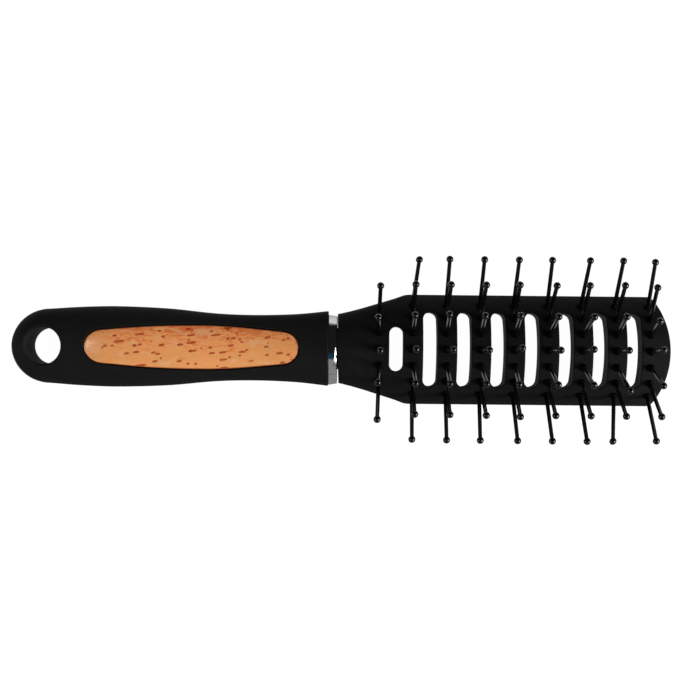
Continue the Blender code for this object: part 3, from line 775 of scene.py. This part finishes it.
def makeCollar(finish):
    length, edge, turns = collar["end"] - collar["start"], collar["edge"], collar["edgeTurns"]
    stations = [(edge * (1 - math.cos(turn)), -edge * (1 - math.sin(turn))) for turn in (0.0, *turns)]
    stations += [(between(edge, length - edge, i / collar["steps"]), 0.0) for i in range(collar["steps"] + 1)]
    stations += [(length - edge * (1 - math.sin(turn)), -edge * (1 - math.cos(turn)))
                 for turn in (*turns, math.pi / 2)]
    full, none = collar["dipWidth"]
    rings = []
    for along, change in stations:
        rise = collar["proud"] + change - collar["taper"] * along / length
        ring = archRing(collar["start"] + along, head["neckHalfWidth"] + rise, head["neckBottom"] - rise,
                        head["neckTop"] + rise, neckCrown + rise)
        dip = collar["dip"] * (along / length) ** collar["dipPower"]
        for i, (x, y, z) in enumerate(ring):
            share = smoothStep((none - abs(y)) / (none - full)) if z > neckMiddle else 0.0
            ring[i] = (x, y + collar["shift"], z - dip * share)
        rings.append(ring)
    rings += [barRing(x, tenon, head["gap"]) for x in (collar["end"], collar["start"])]
    rings.append(rings[0])
    finishPiece(skin("chromeCollar", rings), finish, "collar_chrome", "chrome_collar")


# Pins: one is turned, and each row gets its copies

def turnPin():
    foot, tip, ball = pins["shankFoot"], pins["shankTip"], pins["ball"]
    profile = [(-pins["root"], pins["boss"]), (pins["bossStart"], pins["boss"])]
    for i in range(1, pins["bossSteps"] + 1):
        turn = math.pi / 2 * i / pins["bossSteps"]
        profile.append((between(pins["bossStart"], pins["bossHeight"], math.sin(turn)),
                        between(foot + pins["bossFillet"], pins["boss"], math.cos(turn))))
    profile += [(height, foot + wider) for height, wider in pins["foot"]]
    shankStart = pins["foot"][-1][0]
    neck = math.asin(tip / ball)
    shankEnd = pins["reach"] - ball * math.cos(neck)
    for share in pins["shankShares"]:
        profile.append((between(shankStart, shankEnd, share), between(foot, tip, share)))
    for i in range(pins["ballSteps"] + 1):
        turn = between(neck, math.pi, i / pins["ballSteps"])
        profile.append((pins["reach"] - ball * math.cos(turn), ball * math.sin(turn)))
    turns = [2 * math.pi * i / pins["around"] for i in range(pins["around"])]
    rings = []
    for height, radius in profile:
        rings.append([(radius * math.cos(turn), radius * math.sin(turn), height) for turn in turns])
    return skin("pin", rings)


def makePins(finish):
    master = turnPin()
    for row in range(1, rowCount + 1):
        side = pins["firstRowSidePins"] if row == 1 else pins["sidePins"]
        copies = []
        for place in range(-side, side + 1):
            copy = master.copy()
            copy.data = master.data.copy()
            bpy.context.scene.collection.objects.link(copy)
            lean = pins["leans"].get((row, place), (0.0, 0.0))
            alongX, across = (math.tan(math.radians(degrees)) for degrees in lean)
            for vertex in copy.data.vertices:
                over = max(0.0, vertex.co.z - pins["bossHeight"])
                vertex.co.x += over * alongX
                vertex.co.y += over * across
            stand = Matrix.Translation((rowX(row), 0.0, archZ)) @ Matrix.Rotation(-place * pinStep, 4, "X")
            copy.data.transform(stand @ Matrix.Translation((0.0, 0.0, crownRadius)))
            copies.append(copy)
        finishPiece(joinAll(copies, f"pinRow{row}"), finish, "pin_plastic", f"pin_strip_{row}")
    bpy.data.objects.remove(master)


# Finishes

class Wire:
    # A socket in a finish: an expression on wires adds its Math nodes
    def __init__(self, finish, socket):
        self.finish, self.socket = finish, socket

    def sum(self, operation, first, second, clamp=False):
        settings = {"operation": operation, "use_clamp": clamp}
        return self.finish.add("ShaderNodeMath", settings, {0: first, 1: second})

    def __add__(self, other):
        return self.sum("ADD", self, other)

    def __radd__(self, other):
        return self.sum("ADD", other, self)

    def __sub__(self, other):
        return self.sum("SUBTRACT", self, other)

    def __rsub__(self, other):
        return self.sum("SUBTRACT", other, self)

    def __mul__(self, other):
        return self.sum("MULTIPLY", self, other)

    def __rmul__(self, other):
        return self.sum("MULTIPLY", other, self)

    def __truediv__(self, other):
        return self.sum("DIVIDE", self, other)

    def __rtruediv__(self, other):
        return self.sum("DIVIDE", other, self)

    def clamped(self):
        return self.sum("ADD", self, 0.0, True)

    def above(self, place, steepness):
        # 0 up to this place, then rising to 1
        return ((self - place) * steepness).clamped()

    def below(self, place, steepness):
        return ((place - self) * steepness).clamped()


class Finish:
    # The nodes of a material, or of the surroundings
    def __init__(self, owner):
        owner.use_nodes = True
        self.owner = owner
        self.tree = owner.node_tree
        self.shader = self.tree.nodes.get("Principled BSDF") or self.tree.nodes["Background"]

    def add(self, kind, settings=None, sockets=None, output=0):
        node = self.tree.nodes.new(kind)
        for key, value in (settings or {}).items():
            if key == "stops":
                self.setStops(node.color_ramp, value)
            else:
                setattr(node, key, value)
        for key, value in (sockets or {}).items():
            self.join(node.inputs[key], value)
        return Wire(self, node.outputs[output])

    def setStops(self, ramp, stops):
        while len(ramp.elements) < len(stops):
            ramp.elements.new(1.0)
        for element, (place, colour) in zip(ramp.elements, stops):
            element.position = place
            element.color = (*colour, 1.0)

    def join(self, socket, value):
        if isinstance(value, Wire):
            self.tree.links.new(value.socket, socket)
        elif isinstance(value, tuple) and len(value) == 3 and socket.type == "RGBA":
            socket.default_value = (*value, 1.0)
        else:
            socket.default_value = value

    def put(self, sockets):
        for key, value in sockets.items():
            self.join(self.shader.inputs[key], value)

    def place(self, stretch=(1.0, 1.0, 1.0), turn=(0.0, 0.0, 0.0), move=(0.0, 0.0, 0.0)):
        # Object coordinates in millimetres, scaled, turned and moved for a pattern
        where = self.add("ShaderNodeTexCoord", output="Object")
        scale = tuple(part / mm for part in stretch)
        sockets = {"Vector": where, "Location": move, "Rotation": turn, "Scale": scale}
        return self.add("ShaderNodeMapping", {"vector_type": "POINT"}, sockets)

    def axis(self, vector, name):
        return self.add("ShaderNodeSeparateXYZ", None, {0: vector}, name)

    def normal(self, name):
        return self.axis(self.add("ShaderNodeTexCoord", output="Normal"), name)

    def noise(self, scale=1.0, detail=3.0, roughness=0.5, distortion=0.0, **placing):
        sockets = {"Vector": self.place(**placing), "Scale": scale, "Detail": detail,
                   "Roughness": roughness, "Distortion": distortion}
        return self.add("ShaderNodeTexNoise", None, sockets)

    def mix(self, factor, first, second):
        return self.add("ShaderNodeMix", {"data_type": "RGBA"}, {"Factor": factor, 6: first, 7: second}, 2)

    def bump(self, height, distance, strength=1.0):
        sockets = {"Height": height, "Distance": distance, "Strength": strength}
        self.put({"Normal": self.add("ShaderNodeBump", None, sockets)})


def newFinish(name):
    return Finish(bpy.data.materials.new(name))


black, white = (0.0, 0.0, 0.0), (1.0, 1.0, 1.0)

blackPlastic = {
    "deep": (0.0046, 0.0050, 0.0047),
    "light": (0.0092, 0.0099, 0.0094),
    "dust": (0.045, 0.045, 0.04),
    "dustScale": 0.32,
    # Painted light: the paler colour given to the slots' walls that face the handle
    "wall": (0.048, 0.044, 0.038),
    # Threshold and steepness of each
    "rubbed": (0.60, 7.0),
    "speck": (0.05, 60.0),
    "paintedLightWallFacing": (-0.6, 5.0),
    "clouds": {"scale": 0.16, "detail": 4.0, "roughness": 0.6},
    "fine": {"scale": 5.5, "detail": 2.0, "roughness": 0.6},
    "scuffs": {"scale": 0.5, "detail": 6.0, "roughness": 0.72, "distortion": 0.4,
               "stretch": (0.35, 1.6, 1.6), "turn": (0.0, 0.0, 0.3)},
}


def plasticFinish(name, roughness, spread, grain, gloss, dust=0.5, shade=1.0):
    finish = newFinish(name)
    cloud, fine, scuffs = (finish.noise(**blackPlastic[key]) for key in ("clouds", "fine", "scuffs"))
    rubbed = scuffs.above(*blackPlastic["rubbed"]) * 0.5
    specks = {"Vector": finish.place(), "Scale": blackPlastic["dustScale"]}
    speck = finish.add("ShaderNodeTexVoronoi", {"feature": "F1"}, specks, "Distance")
    dusty = speck.below(*blackPlastic["speck"]) * dust
    tone = (cloud * 0.7 + rubbed * 0.6 + (fine - 0.5) * 0.25).clamped()
    deep, light = (tuple(shade * part for part in blackPlastic[key]) for key in ("deep", "light"))
    worn = roughness + (cloud - 0.5) * spread + (fine - 0.5) * spread * 0.5 + rubbed * 0.10
    finish.put({
        "Base Color": finish.mix(dusty, finish.mix(tone, deep, light), blackPlastic["dust"]),
        "Roughness": worn.clamped(),
        "Specular IOR Level": gloss,
    })
    finish.bump(fine * 0.6 + cloud * 0.4, grain)
    return finish


def softGripFinish():
    return plasticFinish("softGrip", roughness=0.62, spread=0.16, grain=0.012 * mm, gloss=0.055).owner


def headFinish():
    # The slots' walls that face the handle are painted paler: painted light, standing in for the light they
    # catch from the floor below
    finish = plasticFinish("headPlastic", roughness=0.58, spread=0.14, grain=0.008 * mm, gloss=0.05)
    wall = finish.normal("X").below(*blackPlastic["paintedLightWallFacing"])
    clean = Wire(finish, finish.shader.inputs["Base Color"].links[0].from_socket)
    finish.put({"Base Color": finish.mix(wall, clean, blackPlastic["wall"])})
    return finish.owner


def coreFinish():
    return plasticFinish("corePlastic", roughness=0.5, spread=0.1, grain=0.01 * mm, gloss=0.15).owner


# Heights above the crown, in mm, up to which a pin is matt and from which it is polished
pinPolish = {"matt": 0.9, "polished": 2.2, "roughness": 0.12, "index": 1.34}


def pinFinish():
    # Matt bosses, as they leave the mould, and polished shanks and balls
    finish = plasticFinish("pinPlastic", roughness=0.45, spread=0.08, grain=0.001 * mm, gloss=0.02,
                           dust=0.1, shade=0.2)
    where = finish.place()
    across = finish.axis(where, "Y")
    up = finish.axis(where, "Z") - archZ / mm
    matt, polished = ((crownRadius + pinPolish[key] * mm) / mm for key in ("matt", "polished"))
    polish = ((across * across + up * up - matt ** 2) / (polished ** 2 - matt ** 2)).clamped()
    finish.put({
        "Coat Weight": polish,
        "Coat Roughness": pinPolish["roughness"],
        "Coat IOR": pinPolish["index"],
    })
    return finish.owner


grainTilt = 0.12        # the grain climbs a little towards the head

wood = {
    "golden": (0.590, 0.257, 0.076),
    "warm": (0.700, 0.286, 0.096),
    "reddish": (0.570, 0.142, 0.037),
    "pale": (0.700, 0.350, 0.140),
    "fleck": (0.300, 0.027, 0.002),
    "mottle": (0.670, 0.350, 0.180),
    # Painted shade for the rounded edge, which the lamps would light brightly
    "edge": (0.300, 0.065, 0.018),
    # How red it is: in the middle, for each mm across (painted shade: redder and darker towards the +Y side,
    # which the lamps light less), and what the grain's clouds and streaks add
    "blush": {"middle": 0.43, "across": 0.06, "clouds": 1.2, "streaks": 3.2},
    "streaks": {"stretch": (0.34, 1.45, 1.2), "turn": (0.0, 0.0, -grainTilt * 1.6), "detail": 5.0,
                "roughness": 0.62, "distortion": 1.1},
    "clouds": {"stretch": (0.10, 0.20, 0.2), "turn": (0.0, 0.0, -grainTilt), "distortion": 0.6},
    "fibres": {"stretch": (0.45, 4.2, 4.0), "turn": (0.0, 0.0, -grainTilt), "roughness": 0.6,
               "distortion": 0.3},
    "mottles": {"stretch": (0.20, 0.32, 0.3), "move": (5.0, 1.0, 0.0), "detail": 1.5, "roughness": 0.4},
    # Threshold and steepness of each
    "mottled": (0.56, 7.0),
    "slopeAside": (0.87, 5.0),
    "slopeHead": (0.2, 5.0),
    # Flecks: cell length and height, longest, height, share of cells that hold one, start of the pattern
    "flecks": (
        {"cell": (5.8, 2.7), "longest": 4.4, "height": 0.84, "share": 0.66, "start": (0.8, 0.3, 0.0)},
        {"cell": (4.2, 2.9), "longest": 1.9, "height": 0.78, "share": 0.48, "start": (3.2, 8.6, 0.0)},
    ),
    "shortest": 0.24,            # share of the longest
    "faintest": 0.84,
    "ragged": {"scale": 1.6, "detail": 4.0, "roughness": 0.65},
    "raggedEnds": 0.9,
    "raggedSides": 0.5,
    "fleckSharpness": 2.4,
    "chanceSharpness": 40.0,
}


def flecks(finish, cell, longest, height, share, start):
    # Short dark marks along the grain: one in some of the cells, each with its own length
    cellX, cellY = cell
    where = finish.place((1 / cellX, 1 / cellY, 0.0), move=start)
    settings = {"voronoi_dimensions": "2D", "feature": "F1"}
    sockets = {"Vector": where, "Scale": 1.0, "Randomness": 1.0}
    cells = finish.add("ShaderNodeTexVoronoi", settings, sockets, "Position")
    tint = Wire(finish, cells.socket.node.outputs["Color"])
    chance, length, depth = (finish.add("ShaderNodeSeparateColor", None, {0: tint}, k) for k in range(3))
    ragged = finish.noise(**wood["ragged"]) - 0.5
    apart = finish.add("ShaderNodeVectorMath", {"operation": "SUBTRACT"}, {0: where, 1: cells})
    alongX = finish.axis(apart, "X") * cellX
    across = finish.axis(apart, "Y") * cellY
    across = (across - alongX * grainTilt + ragged * wood["raggedSides"]) * (2 / height)
    reach = between(wood["shortest"], 1.0, length * length) * longest / 2
    ends = (alongX + ragged * wood["raggedEnds"]) / reach
    inside = 1.0 - ends * ends * ends * ends - across * across
    shown = (inside * wood["fleckSharpness"]).clamped() * chance.below(share, wood["chanceSharpness"])
    return shown * between(wood["faintest"], 1.0, depth)


def woodFinish():
    finish = newFinish("beechInlay")
    across = finish.axis(finish.place(), "Y")
    streaks, clouds, fibres, mottle = (
        finish.noise(**wood[key]) for key in ("streaks", "clouds", "fibres", "mottles"))
    blush = wood["blush"]
    # Painted shade: redder towards the +Y side; the clouds and streaks are the print's grain
    red = blush["middle"] + across * blush["across"]
    red = (red + (clouds - 0.5) * blush["clouds"] + (streaks - 0.5) * blush["streaks"]).clamped()
    stops = ((0.0, wood["golden"]), (0.5, wood["warm"]), (1.0, wood["reddish"]))
    tone = finish.add("ShaderNodeValToRGB", {"stops": stops}, {0: red})
    lightness = ((0.52 - streaks) * 2.2 + (fibres - 0.5) * 1.2).clamped() * 0.6
    tone = finish.mix(lightness, tone, wood["pale"])
    tone = finish.mix(mottle.above(*wood["mottled"]) * 0.55, tone, wood["mottle"])
    long, short = (flecks(finish, **kind) for kind in wood["flecks"])
    dark = (long + short).clamped()
    tone = finish.mix(dark * 0.94, tone, wood["fleck"])
    # Painted shade: the rounded edge, where it slopes aside or faces the head, is darkened; it also has no
    # gloss
    aside = finish.normal("Z").below(*wood["slopeAside"])
    headward = finish.normal("X").above(*wood["slopeHead"])
    paintedShadeEdge = (aside + headward).clamped()
    tone = finish.mix(paintedShadeEdge * 0.85, tone, wood["edge"])
    finish.put({
        "Base Color": tone,
        "Roughness": (0.36 + (fibres - 0.5) * 0.12 + dark * 0.12).clamped(),
        "Specular IOR Level": 0.3,
        "Coat Weight": (1.0 - paintedShadeEdge) * 0.5,
        "Coat Roughness": 0.12,
    })
    finish.bump(fibres * 0.3 - dark * 0.5, 0.018 * mm, 0.6)
    return finish.owner


chrome = {
    "dull": (0.58, 0.60, 0.57),
    "bright": (0.66, 0.67, 0.64),
    "smudges": {"scale": 0.5, "detail": 4.0, "roughness": 0.6},
    "hairlines": {"scale": 1.6, "roughness": 0.7, "stretch": (4.0, 0.5, 0.5)},
}


def chromeFinish():
    finish = newFinish("collarChrome")
    smudge, hairlines = (finish.noise(**chrome[key]) for key in ("smudges", "hairlines"))
    finish.put({
        "Base Color": finish.mix(smudge, chrome["dull"], chrome["bright"]),
        "Metallic": 1.0,
        "Roughness": (0.045 + (smudge - 0.4) * 0.10 + (hairlines - 0.5) * 0.05).clamped(),
    })
    finish.bump(hairlines, 0.002 * mm, 0.4)
    return finish.owner


# Floor, light and camera

studio = {
    "floorSize": 8.0,
    "floorDrop": 0.05 * mm,
    "paper": ((0.055, 0.055, 0.054), (0.065, 0.065, 0.064)),
    "tooth": {"scale": 0.05},
    "floorGlow": 0.985,          # what the camera sees
    "glowBehind": 0.84,          # what the brush mirrors of the floor behind it and in front of it
    "glowBefore": 0.25,
    "glowMiddle": 0.3,           # the share of the change at the brush, and its depth in mm
    "glowDepth": 60.0,
    # Lamps: name, shape, place, width, height, watts, colour
    "lamps": (
        ("keyLamp", "RECTANGLE", (0.68, -0.18, 0.36), 0.45, 0.35, 11.0, (1.0, 0.985, 0.96)),
        ("fillLamp", "RECTANGLE", (-0.70, -0.12, 0.36), 0.45, 0.40, 2.8, (0.97, 0.98, 1.0)),
        ("spotLamp", "ELLIPSE", (-0.300, 0.032, 0.62), 0.17, 0.075, 0.32, (1.0, 0.93, 0.93)),
    ),
    "zenith": 0.013,
    "horizon": 0.45,
    "horizonHeight": 0.22,
    "front": 0.32,               # a pale card in front of the brush, with a navy band along its upper edge
    "navy": (0.012, 0.050, 0.095),
    "card": (0.41, 14.0),        # how far forward each begins, and how sharply
    "band": (0.12, 9.0),
}


def makeFloor():
    deselectAll()
    bpy.ops.mesh.primitive_plane_add(size=studio["floorSize"], location=(0.0, 0.0, -studio["floorDrop"]))
    floor = bpy.context.object
    floor.name = "floor"
    paper = newFinish("floorPaper")
    seen = paper.add("ShaderNodeLightPath", output="Is Camera Ray")
    depth = paper.axis(paper.place(), "Y")
    change = (studio["glowMiddle"] + depth / studio["glowDepth"]).clamped()
    mirrored = between(studio["glowBefore"], studio["glowBehind"], change)
    glow = seen * studio["floorGlow"] + (1.0 - seen) * mirrored
    paper.put({
        "Base Color": paper.mix(paper.noise(**studio["tooth"]), *studio["paper"]),
        "Roughness": 0.9,
        "Specular IOR Level": 0.1,
        "Emission Color": paper.mix(glow, black, white),
        "Emission Strength": 1.0,
    })
    floor.data.materials.append(paper.owner)


def makeLamps():
    for name, shape, place, width, height, watts, colour in studio["lamps"]:
        bpy.ops.object.light_add(type="AREA", location=place)
        lamp = bpy.context.object
        lamp.name = name
        lamp.data.shape = shape
        lamp.data.size, lamp.data.size_y = width, height
        lamp.data.energy, lamp.data.color = watts, colour
        lamp.rotation_euler = (-Vector(place)).to_track_quat("-Z", "Y").to_euler()


def makeSurroundings():
    # White to the camera; to reflections a dark room with a light horizon, a card and its band
    world = bpy.data.worlds.new("studioWorld")
    bpy.context.scene.world = world
    room = Finish(world)
    direction = room.add("ShaderNodeTexCoord", output="Generated")
    height, depth = (room.axis(direction, name) for name in "ZY")
    low = (1.0 - height / studio["horizonHeight"]).clamped()
    forward = 0.0 - depth
    card = forward.above(*studio["card"])
    band = forward.above(*studio["band"]) * (1.0 - card)
    light = between(studio["zenith"], studio["horizon"], low * low) + card * (1.0 - low) * studio["front"]
    surroundings = room.mix(band, room.mix(light.clamped(), black, white), studio["navy"])
    seen = room.add("ShaderNodeLightPath", output="Is Camera Ray")
    room.put({"Color": room.mix(seen, surroundings, white)})


camera = {
    "place": (3.35 * mm, -0.45 * mm, 451.5 * mm),
    "turn": 0.57,
    "view": 30.15,
    "sensor": 36,
    "nearest": 0.01,
    "farthest": 20,
}


def makeCamera():
    bpy.ops.object.camera_add(location=camera["place"], rotation=(0.0, 0.0, math.radians(camera["turn"])))
    made = bpy.context.object
    made.name = "photoCamera"
    made.data.sensor_width = camera["sensor"]
    made.data.angle = math.radians(camera["view"])
    made.data.clip_start, made.data.clip_end = camera["nearest"], camera["farthest"]
    bpy.context.scene.camera = made
    bpy.context.scene.view_settings.view_transform = "Standard"


headPlastic = headFinish()
makeSleeve(softGripFinish())
makeInlay(woodFinish())
makeCollar(chromeFinish())
makeHeadFrame(headPlastic)
makeBackPlate(headPlastic)
makePins(pinFinish())
nodes["handle_core"].data.materials.clear()
nodes["handle_core"].data.materials.append(coreFinish())
makeFloor()
makeLamps()
makeSurroundings()
print("made the floor, the lamps and the surroundings")
makeCamera()
print("made the camera")
